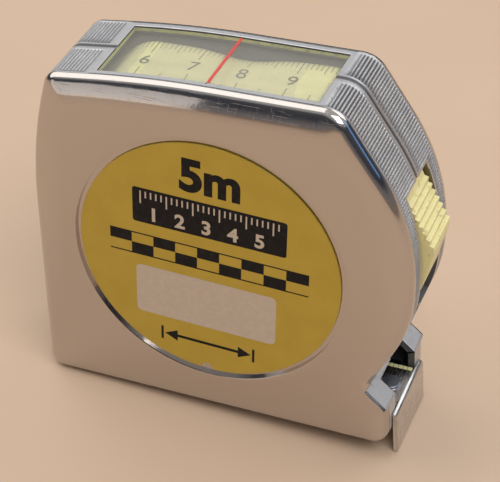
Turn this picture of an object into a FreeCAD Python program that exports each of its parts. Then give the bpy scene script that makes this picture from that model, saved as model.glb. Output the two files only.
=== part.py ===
import FreeCAD, Part
import Sketcher
import math
import os

# Pocket tape measure with a window in the top of its case.
# Millimetres. Origin: on the base plane, on the seam between the two case halves, straight
# under the reel's axis. +X points to the mouth and hook, +Z up, the labelled side faces -Y.

Vector = FreeCAD.Vector
doc = FreeCAD.newDocument("TapeMeasure")

# ---------------------------------------------------------------- driving dimensions

DRIVING = {
    "half_width": 13.3,       # seam to either side face
    "wall": 1.8,              # case wall
    "edge_round": 3.2,        # rounding between a side face and the rim
    "case_rear": -38.0,
    "case_front": 41.4,       # the furthest point of the curved front
    "case_top": 77.2,
    "nose_foot": 37.7,        # front of the nose at the base
    "nose_front": 37.4,       # and at its top, where the hook rests
    "nose_top": 9.9,
    "axle_height": 37.65,     # reel axis, and the centre of the label
    "window_rear": -23.3,
    "window_front": 21.5,
    "window_half": 8.9,
    "slot_half": 6.4,         # button slot in the front
    "slot_bottom": 27.8,
    "slot_top": 58.0,
    "mouth_half": 6.8,
    "mouth_floor": 3.6,
    "mouth_roof": 12.7,
    "recess_radius": 28.6,    # round label recess
    "recess_depth": 0.8,
    "label_radius": 27.56,
    "label_thick": 0.5,
    "blade_width": 12.7,
    "blade_thick": 0.2,
    "blade_height": 4.6,      # underside of the blade's hollow, above the base
    "blade_hollow": 20.0,     # radius of the blade's cross curve
    "blade_tail": -28.0,
    "coil_radius": 28.3,
    "drum_radius": 22.0,
    "drum_wall": 1.2,
    "drum_half": 6.5,
    "disc_radius": 29.5,
    "disc_thick": 0.5,
    "post_radius": 2.6,
    "running_gap": 0.08,
    "spring_outer": 20.0,
    "spring_inner": 3.4,
    "spring_turns": 16.0,
    "spring_steel": 0.4,
    "spring_width": 10.0,
    "hook_half": 9.1,
    "hook_thick": 0.9,
    "hook_bottom": -3.9,
    "hook_lean": 0.5,         # how far the catch leans forward at its lower edge
    "hook_gap": 0.3,          # hook to nose with the blade home
    "hook_play": 0.8,         # sliding play of the hook on its rivets
    "flange_half": 4.9,
    "flange_length": 9.5,
    "rivet_radius": 1.0,
    "rivet_head": 1.8,
    "rivet_rear": 7.0,        # rivet centres behind the back face of the catch
    "rivet_front": 3.2,
    "button_half": 5.5,
    "button_offset": 0.35,    # how far the button sits towards the labelled side
    "button_centre_x": -1.5,  # centre of the arc that the lock button slides on
    "button_centre_z": 40.9,
    "arm_outer": 40.7,
    "arm_inner": 39.2,
    "arm_half": 7.6,
    "lens_thick": 1.6,
    "lens_drop": 0.25,        # lens below the crown of the case
    "lens_fit": 0.06,         # gap round the lens
    "hairline_x": -0.56,
    "hairline_width": 0.6,
    "pin_radius": 1.4,
    "screw_radius": 1.25,
    "screw_head": 2.3,
    "screw_head_deep": 1.5,
    "boss_radius": 2.7,
    "clip_half": 8.0,
    "clip_thick": 1.0,
    "clip_gap": 4.3,          # belt gap between the clip's arm and its plate
}

sheet = doc.addObject("Spreadsheet::Sheet", "Sizes")
for row, (alias, value) in enumerate(DRIVING.items(), start=1):
    sheet.set("A%d" % row, alias)
    sheet.set("B%d" % row, str(value))
    sheet.setAlias("B%d" % row, alias)
doc.recompute()


def size(alias):
    return float(sheet.get(alias))


def bind(item, **formulas):
    """Binds properties of a document object to formulas over the sheet's aliases."""
    for name, formula in formulas.items():
        item.setExpression(name, formula)


# ---------------------------------------------------------------- outlines

def line_cross(point_a, way_a, point_b, way_b):
    """The point where two lines meet, each given by a point and a direction."""
    across = way_a[0] * way_b[1] - way_a[1] * way_b[0]
    reach = ((point_b[0] - point_a[0]) * way_b[1] - (point_b[1] - point_a[1]) * way_b[0]) / across
    return (point_a[0] + way_a[0] * reach, point_a[1] + way_a[1] * reach)


def inset(corners, distance):
    """The same closed outline moved inwards, its corners listed anticlockwise with radii."""
    moved = []
    count = len(corners)
    for index in range(count):
        before, here, after = corners[index - 1], corners[index], corners[(index + 1) % count]
        ways = []
        for start, end in ((before, here), (here, after)):
            length = math.hypot(end[0] - start[0], end[1] - start[1])
            ways.append(((end[0] - start[0]) / length, (end[1] - start[1]) / length))
        starts = [(here[0] - way[1] * distance, here[1] + way[0] * distance) for way in ways]
        point = line_cross(starts[0], ways[0], starts[1], ways[1])
        turn = ways[0][0] * ways[1][1] - ways[0][1] * ways[1][0]
        radius = here[2] - distance if turn > 0 else here[2] + distance
        moved.append((point[0], point[1], max(radius, 0.0)))
    return moved


def arc(start, middle, end):
    """An arc through three points, made anticlockwise as a sketch needs it."""
    turn = (middle - start).cross(end - middle)
    return Part.Arc(start, middle, end) if turn.z > 0 else Part.Arc(end, middle, start)


def rounded(corners, closed=True):
    """Lines and tangent arcs through corners given as (x, y, radius)."""
    count = len(corners)
    joints = []
    for index, (x, y, radius) in enumerate(corners):
        if not closed and index in (0, count - 1):
            joints.append(((x, y), None, (x, y)))
            continue
        before, after = corners[index - 1], corners[(index + 1) % count]
        way_in = math.atan2(y - before[1], x - before[0])
        way_out = math.atan2(after[1] - y, after[0] - x)
        turn = math.remainder(way_out - way_in, 2 * math.pi)
        if radius < 0.01:
            joints.append(((x, y), None, (x, y)))
            continue
        reach = radius * math.tan(abs(turn) / 2)
        start = (x - reach * math.cos(way_in), y - reach * math.sin(way_in))
        end = (x + reach * math.cos(way_out), y + reach * math.sin(way_out))
        side = math.copysign(math.pi / 2, turn)
        middle_way = way_in + turn / 2 - side
        centre = (start[0] + radius * math.cos(way_in + side),
                  start[1] + radius * math.sin(way_in + side))
        middle = (centre[0] + radius * math.cos(middle_way),
                  centre[1] + radius * math.sin(middle_way))
        joints.append((start, middle, end))
    curves = []
    for index, (start, middle, end) in enumerate(joints):
        if middle:
            curves.append(arc(*[Vector(px, py, 0) for px, py in (start, middle, end)]))
        if closed or index < count - 1:
            following = joints[(index + 1) % count][0]
            curves.append(Part.LineSegment(Vector(*end, 0), Vector(*following, 0)))
    return curves


def case_outline():
    """Side view of the case, anticlockwise from the rear bottom corner."""
    rear, front = size("case_rear"), size("case_front")
    top = size("case_top")
    return [
        (rear, 0.0, 3.4),
        (size("nose_foot"), 0.0, 3.4),
        (size("nose_front"), size("nose_top"), 0.0),
        (33.0, 13.8, 0.0),
        (front, 31.0, 32.0),
        (front, 54.4, 45.0),
        (26.2, top, 6.0),
        (-12.0, 76.3, 220.0),
        (-33.2, 73.3, 3.4),
        (rear, 56.0, 100.0),
    ]


def cavity_outline():
    return inset(case_outline(), size("wall"))


# ---------------------------------------------------------------- feature helpers

def origin_plane(body, role):
    return next(item for item in body.Origin.OriginFeatures if item.Role == role)


def new_body(name):
    body = doc.addObject("PartDesign::Body", name)
    body.Label = name
    return body


def new_sketch(body, name, role, curves, away="0"):
    """A sketch on one of the body's origin planes, or on a plane parallel to it."""
    sketch = body.newObject("Sketcher::SketchObject", name)
    sketch.AttachmentSupport = [(origin_plane(body, role), "")]
    sketch.MapMode = "FlatFace"
    sketch.addGeometry(curves, False)
    bind(sketch, **{"AttachmentOffset.Base.z": away})
    return sketch


def circle_sketch(body, name, role, centre, radius, away="0"):
    """A circle whose radius and centre follow the sheet."""
    curve = Part.Circle(Vector(centre[0], centre[1], 0), Vector(0, 0, 1), 1.0)
    sketch = new_sketch(body, name, role, [curve], away)
    radius_rule = sketch.addConstraint(Sketcher.Constraint("Radius", 0, 1.0))
    sketch.setExpression("Constraints[%d]" % radius_rule, radius)
    return sketch


def box_curves(low, high):
    corners = [(low[0], low[1], 0), (high[0], low[1], 0), (high[0], high[1], 0), (low[0], high[1], 0)]
    return rounded(corners)


def add(body, kind, name, sketch, length, backwards=False, midplane=False):
    """A pad or pocket of a sketch; a pocket has to remove volume and a pad has to add it."""
    before = body.Shape.Volume if body.Tip else 0.0
    feature = body.newObject("PartDesign::" + kind, name)
    feature.Profile = sketch
    feature.Reversed = backwards
    feature.Midplane = midplane
    bind(feature, Length=length)
    doc.recompute()
    grown = body.Shape.Volume - before
    if (grown > 0) != (kind == "Pad"):
        raise ValueError("%s of %s changes nothing" % (name, body.Label))
    return feature


def ring(name, outer, inner, width, middle="0"):
    """A flat ring about the reel axis, made as one cylinder cut from another."""
    pieces = []
    for part, radius, extra in (("outer", outer, "0"), ("inner", inner, "2")):
        cylinder = doc.addObject("Part::Cylinder", name + "_" + part)
        bind(cylinder, Radius=radius, Height="%s + %s" % (width, extra))
        cylinder.Placement.Rotation = FreeCAD.Rotation(Vector(1, 0, 0), -90)
        bind(cylinder, **{
            "Placement.Base.y": "%s - (%s + %s) / 2" % (middle, width, extra),
            "Placement.Base.z": "Sizes.axle_height",
        })
        pieces.append(cylinder)
    cut = doc.addObject("Part::Cut", name)
    cut.Base, cut.Tool = pieces
    cut.Label = name
    return cut


def rod(name, radius, start_y, length, x="0", z="Sizes.axle_height"):
    """A round bar along Y."""
    cylinder = doc.addObject("Part::Cylinder", name)
    cylinder.Label = name
    cylinder.Placement.Rotation = FreeCAD.Rotation(Vector(1, 0, 0), -90)
    bind(cylinder, Radius=radius, Height=length)
    bind(cylinder, **{
        "Placement.Base.x": x,
        "Placement.Base.y": start_y,
        "Placement.Base.z": z,
    })
    return cylinder


def fused(name, pieces):
    fuse = doc.addObject("Part::MultiFuse", name)
    fuse.Shapes = pieces
    fuse.Label = name
    return fuse


def coded(name, shape, place):
    """A piece whose shape is worked out by code from the sheet's sizes."""
    feature = doc.addObject("Part::Feature", name)
    feature.Shape = shape
    feature.Label = name
    feature.Placement = FreeCAD.Placement(place, FreeCAD.Rotation())
    return feature


# ---------------------------------------------------------------- case

SCREW_PLACES = ((-28.8, 11.2), (-23.5, 64.2), (20.5, 66.0))


def rim_edges(body, away_y):
    """The edges of a case half between its rim and its side face, but not the nose's slope."""
    names = []
    for index, edge in enumerate(body.Shape.Edges, start=1):
        box = edge.BoundBox
        on_side = abs(box.YMin - away_y) < 0.01 and abs(box.YMax - away_y) < 0.01
        on_slope = box.XMin > 32.9 and box.ZMin > 9.8 and box.ZMax < 13.9
        if on_side and not on_slope:
            names.append("Edge%d" % index)
    return names


def case_half(name, side):
    """One half of the case: side is -1 for the labelled half and 1 for the far one."""
    body = new_body(name)
    far = side > 0
    away = "Sizes.half_width" if not far else "-Sizes.half_width"
    shell = new_sketch(body, name + "_outline", "XZ_Plane", rounded(case_outline()))
    block = add(body, "Pad", name + "_block", shell, "Sizes.half_width", backwards=far)
    rim = rim_edges(body, side * size("half_width"))
    edging = body.newObject("PartDesign::Fillet", name + "_edging")
    edging.Base = (block, rim)
    bind(edging, Radius="Sizes.edge_round")
    doc.recompute()
    hollow = new_sketch(body, name + "_cavity", "XZ_Plane", rounded(cavity_outline()))
    add(body, "Pocket", name + "_hollow", hollow, "Sizes.half_width - Sizes.wall", not far)
    for index, place in enumerate(SCREW_PLACES):
        boss = circle_sketch(body, "%s_boss%d" % (name, index), "XZ_Plane", place, "Sizes.boss_radius")
        add(body, "Pad", "%s_post%d" % (name, index), boss, "Sizes.half_width - Sizes.wall", far)
        hole = circle_sketch(body, "%s_bore%d" % (name, index), "XZ_Plane", place,
                             "Sizes.screw_radius + Sizes.running_gap")
        depth = "Sizes.half_width" if far else "9"
        add(body, "Pocket", "%s_hole%d" % (name, index), hole, depth, not far)
        if far:
            seat = circle_sketch(body, "%s_seat%d" % (name, index), "XZ_Plane", place,
                                 "Sizes.screw_head + Sizes.running_gap", away)
            add(body, "Pocket", "%s_sink%d" % (name, index), seat, "Sizes.screw_head_deep", far)
    recess = circle_sketch(body, name + "_disc", "XZ_Plane", (0, size("axle_height")),
                           "Sizes.recess_radius", away)
    add(body, "Pocket", name + "_recess", recess, "Sizes.recess_depth", far)
    window = box_curves((size("window_rear"), 0.0), (size("window_front"), side * size("window_half")))
    window = new_sketch(body, name + "_window", "XY_Plane", window, "60")
    add(body, "Pocket", name + "_window_cut", window, "30", True)
    slot = box_curves((0.0, size("slot_bottom")), (side * size("slot_half"), size("slot_top")))
    slot = new_sketch(body, name + "_slot", "YZ_Plane", slot, "30")
    add(body, "Pocket", name + "_slot_cut", slot, "20", True)
    mouth = box_curves((0.0, size("mouth_floor")), (side * size("mouth_half"), size("mouth_roof")))
    mouth = new_sketch(body, name + "_mouth", "YZ_Plane", mouth, "30")
    add(body, "Pocket", name + "_mouth_cut", mouth, "20", True)
    if far:
        clip_bore = circle_sketch(body, name + "_clip_bore", "XZ_Plane", (0, size("axle_height")),
                                  "Sizes.screw_radius + Sizes.running_gap")
        add(body, "Pocket", name + "_clip_hole", clip_bore, "Sizes.half_width", False)
    return body


near_half = case_half("case_front_shell", -1)
far_half = case_half("case_rear_shell", 1)

screws = []
for index, (place_x, place_z) in enumerate(SCREW_PLACES):
    shank = rod("screw_shank%d" % index, "Sizes.screw_radius", "-8",
                "8 + Sizes.half_width - Sizes.screw_head_deep", "%g" % place_x, "%g" % place_z)
    head = rod("screw_cap%d" % index, "Sizes.screw_head", "Sizes.half_width - Sizes.screw_head_deep",
               "Sizes.screw_head_deep - 0.3", "%g" % place_x, "%g" % place_z)
    screws.append(fused("case_screw%d" % index, [shank, head]))
case_screws = doc.addObject("Part::Compound", "case_screws")
case_screws.Links = screws
case_screws.Label = "case_screws"


# ---------------------------------------------------------------- labels and window

def label(name, start_y):
    return rod(name, "Sizes.label_radius", start_y, "Sizes.label_thick")


front_label = label("front_label", "-Sizes.half_width + Sizes.recess_depth - Sizes.label_thick")
rear_label_disc = label("rear_label_disc", "Sizes.half_width - Sizes.recess_depth")
rear_label_hole = rod("rear_label_hole", "Sizes.screw_radius + 0.3", "0", "20")
rear_label = doc.addObject("Part::Cut", "rear_label")
rear_label.Base, rear_label.Tool = rear_label_disc, rear_label_hole
rear_label.Label = "rear_label"


def window_lens():
    """Clear strip that follows the crowned top a little below the case's outer face."""
    body = new_body("window_lens")
    rear = size("window_rear") + size("lens_fit")
    front = size("window_front") - size("lens_fit")
    crown = ((rear, 74.9), (-2.0, 76.45), (front, 77.15))
    upper = [Vector(x, z - size("lens_drop"), 0) for x, z in crown]
    lower = [point - Vector(0, size("lens_thick"), 0) for point in upper]
    curves = [
        arc(*lower),
        Part.LineSegment(lower[2], upper[2]),
        arc(*upper),
        Part.LineSegment(upper[0], lower[0]),
    ]
    sketch = new_sketch(body, "lens_side", "XZ_Plane", curves)
    add(body, "Pad", "lens_strip", sketch, "2 * (Sizes.window_half - Sizes.lens_fit)", midplane=True)
    return body


lens = window_lens()
hairline = doc.addObject("Part::Box", "hairline")
hairline.Label = "hairline"
bind(hairline, Length="Sizes.hairline_width", Width="2 * Sizes.window_half - 0.6", Height="0.08")
bind(hairline, **{
    "Placement.Base.x": "Sizes.hairline_x - Sizes.hairline_width / 2",
    "Placement.Base.y": "0.3 - Sizes.window_half",
    "Placement.Base.z": "76.31",
})


# ---------------------------------------------------------------- blade

def trough(half, thick, radius):
    """Cross-section of the hollow blade, in the YZ plane: two arcs and two short ends."""
    rise = radius - math.sqrt(radius ** 2 - half ** 2)
    floor = size("blade_height")
    lower = [Vector(-half, floor + rise, 0), Vector(0, floor, 0), Vector(half, floor + rise, 0)]
    upper = [point + Vector(0, thick, 0) for point in lower]
    return [
        arc(*lower),
        Part.LineSegment(lower[2], upper[2]),
        arc(*upper),
        Part.LineSegment(upper[0], lower[0]),
    ]


blade_strip = new_body("blade_strip")
blade_section = new_sketch(blade_strip, "blade_section", "YZ_Plane",
                           trough(size("blade_width") / 2, size("blade_thick"), size("blade_hollow")),
                           "Sizes.blade_tail")
add(blade_strip, "Pad", "blade_run", blade_section,
    "Sizes.nose_front - Sizes.blade_tail - 0.2")


def ribbon(name, corners, thick, width):
    """A flat strip bent along a route of straight runs and arcs, square to the seam plane."""
    half = thick / 2
    left, right = [], []
    for index, (x, z, radius) in enumerate(corners):
        before = corners[max(index - 1, 0)]
        after = corners[min(index + 1, len(corners) - 1)]
        way_in = math.atan2(z - before[1], x - before[0]) if index else None
        way_out = math.atan2(after[1] - z, after[0] - x) if index < len(corners) - 1 else way_in
        way_in = way_out if way_in is None else way_in
        turn = math.remainder(way_out - way_in, 2 * math.pi)
        normal = (way_in + way_out) / 2 + math.pi / 2
        if abs(way_out - way_in) > math.pi:
            normal += math.pi
        reach = half / math.cos(turn / 2)
        spread = math.copysign(half, turn) if radius else 0.0
        left.append((x + reach * math.cos(normal), z + reach * math.sin(normal), radius - spread))
        right.append((x - reach * math.cos(normal), z - reach * math.sin(normal), radius + spread))
    body = new_body(name)
    sketch = new_sketch(body, name + "_route", "XZ_Plane", rounded(right + left[::-1]))
    add(body, "Pad", name + "_strip", sketch, width, midplane=True)
    return body


# From the tail of the straight run, up behind the reel, forward under the window and down
# to the coil.
blade_top_run = ribbon("blade_window_run", [
    (size("blade_tail") - 0.5, size("blade_height") + 0.2, 0.0),
    (-34.6, size("blade_height") + 0.2, 6.0),
    (-34.6, 47.0, 30.0),
    (-26.5, 72.6, 7.0),
    (24.3, 74.75, 7.0),
    (29.2, 42.0, 0.0),
], size("blade_thick"), "Sizes.blade_width")

blade_coil = ring("blade_coil", "Sizes.coil_radius", "Sizes.drum_radius", "Sizes.blade_width")

guide_pins = []
for index, (pin_x, pin_z) in enumerate(((-17.5, 71.35), (16.5, 72.85))):
    guide_pins.append(rod("guide_pin%d" % index, "Sizes.pin_radius", "Sizes.wall - Sizes.half_width",
                          "2 * (Sizes.half_width - Sizes.wall)", "%g" % pin_x, "%g" % pin_z))
blade_guides = doc.addObject("Part::Compound", "blade_guides")
blade_guides.Links = guide_pins
blade_guides.Label = "blade_guides"


# ---------------------------------------------------------------- reel

def drum():
    """Open drum: a rim that carries the coil and one web that turns on the post."""
    rim = ring("drum_rim", "Sizes.drum_radius", "Sizes.drum_radius - Sizes.drum_wall", "2 * Sizes.drum_half")
    web = ring("drum_web", "Sizes.drum_radius", "Sizes.post_radius + Sizes.running_gap", "1",
               "Sizes.drum_half - 0.5")
    return fused("reel_drum", [rim, web])


reel_drum = drum()
reel_discs = []
for name, side in (("reel_disc_front", "-1"), ("reel_disc_rear", "1")):
    reel_discs.append(ring(name, "Sizes.disc_radius", "Sizes.post_radius + Sizes.running_gap",
                           "Sizes.disc_thick",
                           "%s * (Sizes.drum_half + Sizes.disc_thick / 2)" % side))


def spiral_spring():
    """Flat power spring: a spiral of half circles that step outwards by half the pitch."""
    pitch = (size("spring_outer") - size("spring_inner")) / size("spring_turns")
    steel = size("spring_steel")
    faces = []
    for offset in (0.0, steel):
        curves = []
        for half_turn in range(int(size("spring_turns") * 2)):
            radius = size("spring_inner") + offset + pitch * (half_turn + 0.5) / 2
            way = 1 if half_turn % 2 == 0 else -1
            centre = -way * pitch / 4
            points = [Vector(centre + way * radius * x, 0, radius * z * way) for x, z in ((1, 0), (0, 1), (-1, 0))]
            curves.append(Part.Arc(*points).toShape())
        faces.append(curves)
    inner, outer = faces
    ends = []
    for pick, index in ((0, 0), (-1, -1)):
        ends.append(Part.LineSegment(inner[pick].Vertexes[index].Point,
                                     outer[pick].Vertexes[index].Point).toShape())
    wire = Part.Wire(Part.__sortEdges__(inner + outer + ends))
    return Part.Face(wire).extrude(Vector(0, size("spring_width"), 0))


power_spring = coded("power_spring", spiral_spring(), Vector(0, -5.4, size("axle_height")))

centre_post = rod("post_bar", "Sizes.post_radius", "Sizes.wall - Sizes.half_width",
                  "2 * (Sizes.half_width - Sizes.wall)")
post_bore = rod("post_bore", "Sizes.screw_radius + Sizes.running_gap", "2", "20")
post = doc.addObject("Part::Cut", "centre_post")
post.Base, post.Tool = centre_post, post_bore
post.Label = "centre_post"


# ---------------------------------------------------------------- hook

HOOK_BACK = size("nose_front") + size("hook_gap")
RIVET_PLACES = (HOOK_BACK - size("rivet_rear"), HOOK_BACK - size("rivet_front"))


def end_hook():
    """Bent plate: a flange on the blade, with slots for the rivets, and the catch below it."""
    body = new_body("end_hook")
    top = size("blade_height") + 1.6
    under = size("blade_height") + 0.9
    back, thick, lean = HOOK_BACK, size("hook_thick"), size("hook_lean")
    side_view = [
        (back - size("flange_length"), under, 0.0),
        (back, under, 0.15),
        (back + lean, size("hook_bottom"), 0.0),
        (back + lean + thick, size("hook_bottom"), 0.4),
        (back + thick, top, 1.1),
        (back - size("flange_length"), top, 0.0),
    ]
    bend = new_sketch(body, "hook_bend", "XZ_Plane", rounded(side_view))
    add(body, "Pad", "hook_plate", bend, "2 * Sizes.hook_half", midplane=True)
    for side in (-1, 1):
        trim = box_curves((back - size("flange_length") - 1, side * size("flange_half")),
                          (back - 0.05, side * (size("hook_half") + 1)))
        trim = new_sketch(body, "flange_side%d" % (side + 1), "XY_Plane", trim, "4")
        add(body, "Pocket", "flange_trim%d" % (side + 1), trim, "8", True)
    for index, place in enumerate(RIVET_PLACES):
        reach = size("rivet_radius") + size("running_gap")
        slot = rounded([
            (place - reach - size("hook_play"), -reach, reach * 0.999),
            (place + reach, -reach, reach * 0.999),
            (place + reach, reach, reach * 0.999),
            (place - reach - size("hook_play"), reach, reach * 0.999),
        ])
        slot = new_sketch(body, "rivet_slot%d" % index, "XY_Plane", slot, "4")
        add(body, "Pocket", "rivet_cut%d" % index, slot, "8", True)
    return body


hook = end_hook()


def rivet(index, place):
    """A tubular rivet standing in the blade with a head on each side."""
    pieces = []
    floor = size("blade_height")
    for part, radius, low, high in (("foot", "rivet_head", floor - 0.65, floor - 0.05),
                                    ("shank", "rivet_radius", floor - 0.05, floor + 1.7),
                                    ("cap", "rivet_head", floor + 1.7, floor + 2.2)):
        cylinder = doc.addObject("Part::Cylinder", "rivet_%s%d" % (part, index))
        bind(cylinder, Radius="Sizes." + radius, Height="%g" % (high - low))
        cylinder.Placement.Base = Vector(place, 0, low)
        pieces.append(cylinder)
    return fused("hook_rivet%d" % index, pieces)


rivets = [rivet(index, place) for index, place in enumerate(RIVET_PLACES)]
hook_rivets = doc.addObject("Part::Compound", "hook_rivets")
hook_rivets.Links = rivets
hook_rivets.Label = "hook_rivets"

for index, place in enumerate(RIVET_PLACES):
    hole = circle_sketch(blade_strip, "blade_hole%d" % index, "XY_Plane", (place, 0),
                         "Sizes.rivet_radius", "0")
    add(blade_strip, "Pocket", "blade_punch%d" % index, hole, "12", True)


# ---------------------------------------------------------------- lock

def polar(radius, degrees):
    """A point on an arc about the lock button's centre, in the XZ plane."""
    angle = math.radians(degrees)
    return (size("button_centre_x") + radius * math.cos(angle),
            size("button_centre_z") + radius * math.sin(angle))


def sector_curves(inner, outer, low, high):
    middle = (low + high) / 2
    inner_points = [Vector(*polar(inner, angle), 0) for angle in (high, middle, low)]
    outer_points = [Vector(*polar(outer, angle), 0) for angle in (low, middle, high)]
    return [
        arc(*inner_points),
        Part.LineSegment(inner_points[2], outer_points[0]),
        arc(*outer_points),
        Part.LineSegment(outer_points[2], inner_points[0]),
    ]


def lock_button():
    """Thumb button: a wedge with a stepped upper face, riding in the slot of the case."""
    body = new_body("lock_button")
    foot = size("arm_outer")
    start, crest, tip = (37.2, 57.5), (43.5, 47.3), (41.3, 36.6)
    first_tread, steps = (38.1, 56.9), 7
    low, high = -5.6, 22.8
    corners = [(*polar(foot, low), 0.0), (*tip, 0.3), (crest[0] + 0.1, crest[1] - 1.2, 0.5)]
    rise = (first_tread[1] - crest[1]) / steps
    run = (crest[0] - first_tread[0]) / steps
    for index in range(steps):
        x = crest[0] - index * run
        z = crest[1] + index * rise
        corners.append((x, z, 0.15))
        corners.append((x - run * 1.15, z + rise * 0.15, 0.0))
    corners += [(*start, 0.3), (*polar(foot, high), 0.0)]
    seat = [Vector(*polar(foot, angle), 0) for angle in (low, (low + high) / 2, high)]
    sketch = new_sketch(body, "button_side", "XZ_Plane", rounded(corners, closed=False) + [arc(*seat)],
                        "Sizes.button_offset")
    add(body, "Pad", "button_wedge", sketch, "2 * Sizes.button_half", midplane=True)
    return body


button = lock_button()

lock_arm = new_body("lock_arm")
arm_side = new_sketch(lock_arm, "arm_side", "XZ_Plane",
                      sector_curves(size("arm_inner"), size("arm_outer"), -45.5, 24.0))
add(lock_arm, "Pad", "arm_strip", arm_side, "2 * Sizes.arm_half", midplane=True)

lock_shoe = new_body("lock_shoe")
shoe_side = new_sketch(lock_shoe, "shoe_side", "XZ_Plane",
                       sector_curves(size("arm_outer"), 41.9, -45.5, -42.5))
add(lock_shoe, "Pad", "shoe_block", shoe_side, "12", midplane=True)

mouth_guide = new_body("mouth_guide")
guide_side = new_sketch(mouth_guide, "guide_side", "XZ_Plane",
                        box_curves((14.0, size("wall")), (size("nose_front") - 3.8, size("mouth_floor") - 0.1)))
add(mouth_guide, "Pad", "guide_block", guide_side, "2 * Sizes.half_width - 2 * Sizes.wall - 2", midplane=True)


# ---------------------------------------------------------------- belt clip

def belt_clip():
    """Spring clip: a plate under the centre screw, a bend at the top, and an arm that hangs."""
    plate_y = size("half_width")
    thick, gap = size("clip_thick"), size("clip_gap")
    middle = plate_y + thick / 2
    arm = middle + gap + thick
    body = new_body("belt_clip")
    half = thick / 2
    top = 62.0
    flare = 1.3
    bend = (arm - middle) / 2
    side_view = [
        (middle - half, 30.0, 0.0),
        (middle + half, 30.0, 0.0),
        (middle + half, top - half, bend - half - 0.01),
        (arm - half, top - half, bend - half - 0.01),
        (arm - half, 13.0, 5.0),
        (arm + flare - half, 6.0, 0.0),
        (arm + flare + half, 6.0, 0.0),
        (arm + half, 13.0, 5.0),
        (arm + half, top + half, bend + half - 0.01),
        (middle - half, top + half, bend + half - 0.01),
    ]
    sketch = new_sketch(body, "clip_side", "YZ_Plane", rounded(side_view))
    add(body, "Pad", "clip_strip", sketch, "2 * Sizes.clip_half", midplane=True)
    hole = circle_sketch(body, "clip_eye", "XZ_Plane", (0, size("axle_height")),
                         "Sizes.screw_radius + Sizes.running_gap", "-Sizes.half_width - 2")
    add(body, "Pocket", "clip_punch", hole, "4", True)
    return body


clip = belt_clip()
clip_shank = rod("clip_shank", "Sizes.screw_radius", "3", "Sizes.half_width + Sizes.clip_thick - 3")
clip_head = rod("clip_head", "Sizes.screw_head", "Sizes.half_width + Sizes.clip_thick", "1.2")
clip_screw = fused("belt_clip_screw", [clip_shank, clip_head])

# ---------------------------------------------------------------- check and export

SUBPARTS = [
    near_half, far_half, case_screws, front_label, rear_label, lens, hairline,
    blade_strip, blade_top_run, blade_coil, blade_guides, reel_drum, *reel_discs,
    power_spring, post, hook, hook_rivets, button, lock_arm, lock_shoe, mouth_guide,
    clip, clip_screw,
]

doc.recompute()
for item in doc.Objects:
    if "Invalid" in item.State or "Error" in item.State:
        raise ValueError("%s failed" % item.Label)
for item in SUBPARTS:
    if item.Shape.isNull() or not item.Shape.isValid() or item.Shape.Volume <= 0:
        raise ValueError("%s has no valid shape" % item.Label)

os.makedirs("parts", exist_ok=True)
for item in SUBPARTS:
    item.Shape.exportStep("parts/%s.step" % item.Label)
    print("%-18s %8.1f mm3  %d solids" % (item.Label, item.Shape.Volume, len(item.Shape.Solids)))
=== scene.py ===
import math

import bmesh
import bpy
import numpy as np
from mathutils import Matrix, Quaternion, Vector
from mathutils.kdtree import KDTree


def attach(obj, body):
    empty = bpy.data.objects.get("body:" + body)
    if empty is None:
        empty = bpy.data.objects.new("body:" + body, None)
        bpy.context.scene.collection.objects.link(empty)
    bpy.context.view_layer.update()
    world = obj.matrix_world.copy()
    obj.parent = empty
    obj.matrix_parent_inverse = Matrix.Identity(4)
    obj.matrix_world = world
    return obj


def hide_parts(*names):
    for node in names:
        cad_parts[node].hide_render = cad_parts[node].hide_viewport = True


# Looks of a pocket tape measure with a window in the top of its case, built round the packed
# CAD frame. Lengths below are in millimetres; MM turns them into metres when a mesh is made.

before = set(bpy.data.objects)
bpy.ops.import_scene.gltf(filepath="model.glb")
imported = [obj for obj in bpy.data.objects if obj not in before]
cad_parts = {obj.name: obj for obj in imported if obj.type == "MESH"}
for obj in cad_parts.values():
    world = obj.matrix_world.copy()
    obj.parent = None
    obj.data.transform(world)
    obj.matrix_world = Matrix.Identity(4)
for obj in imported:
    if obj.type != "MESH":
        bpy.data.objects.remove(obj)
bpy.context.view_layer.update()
MM = 0.001
HALF_WIDTH = 13.3
AXLE = (0.0, 37.65)


# ---------------------------------------------------------------- materials

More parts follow.
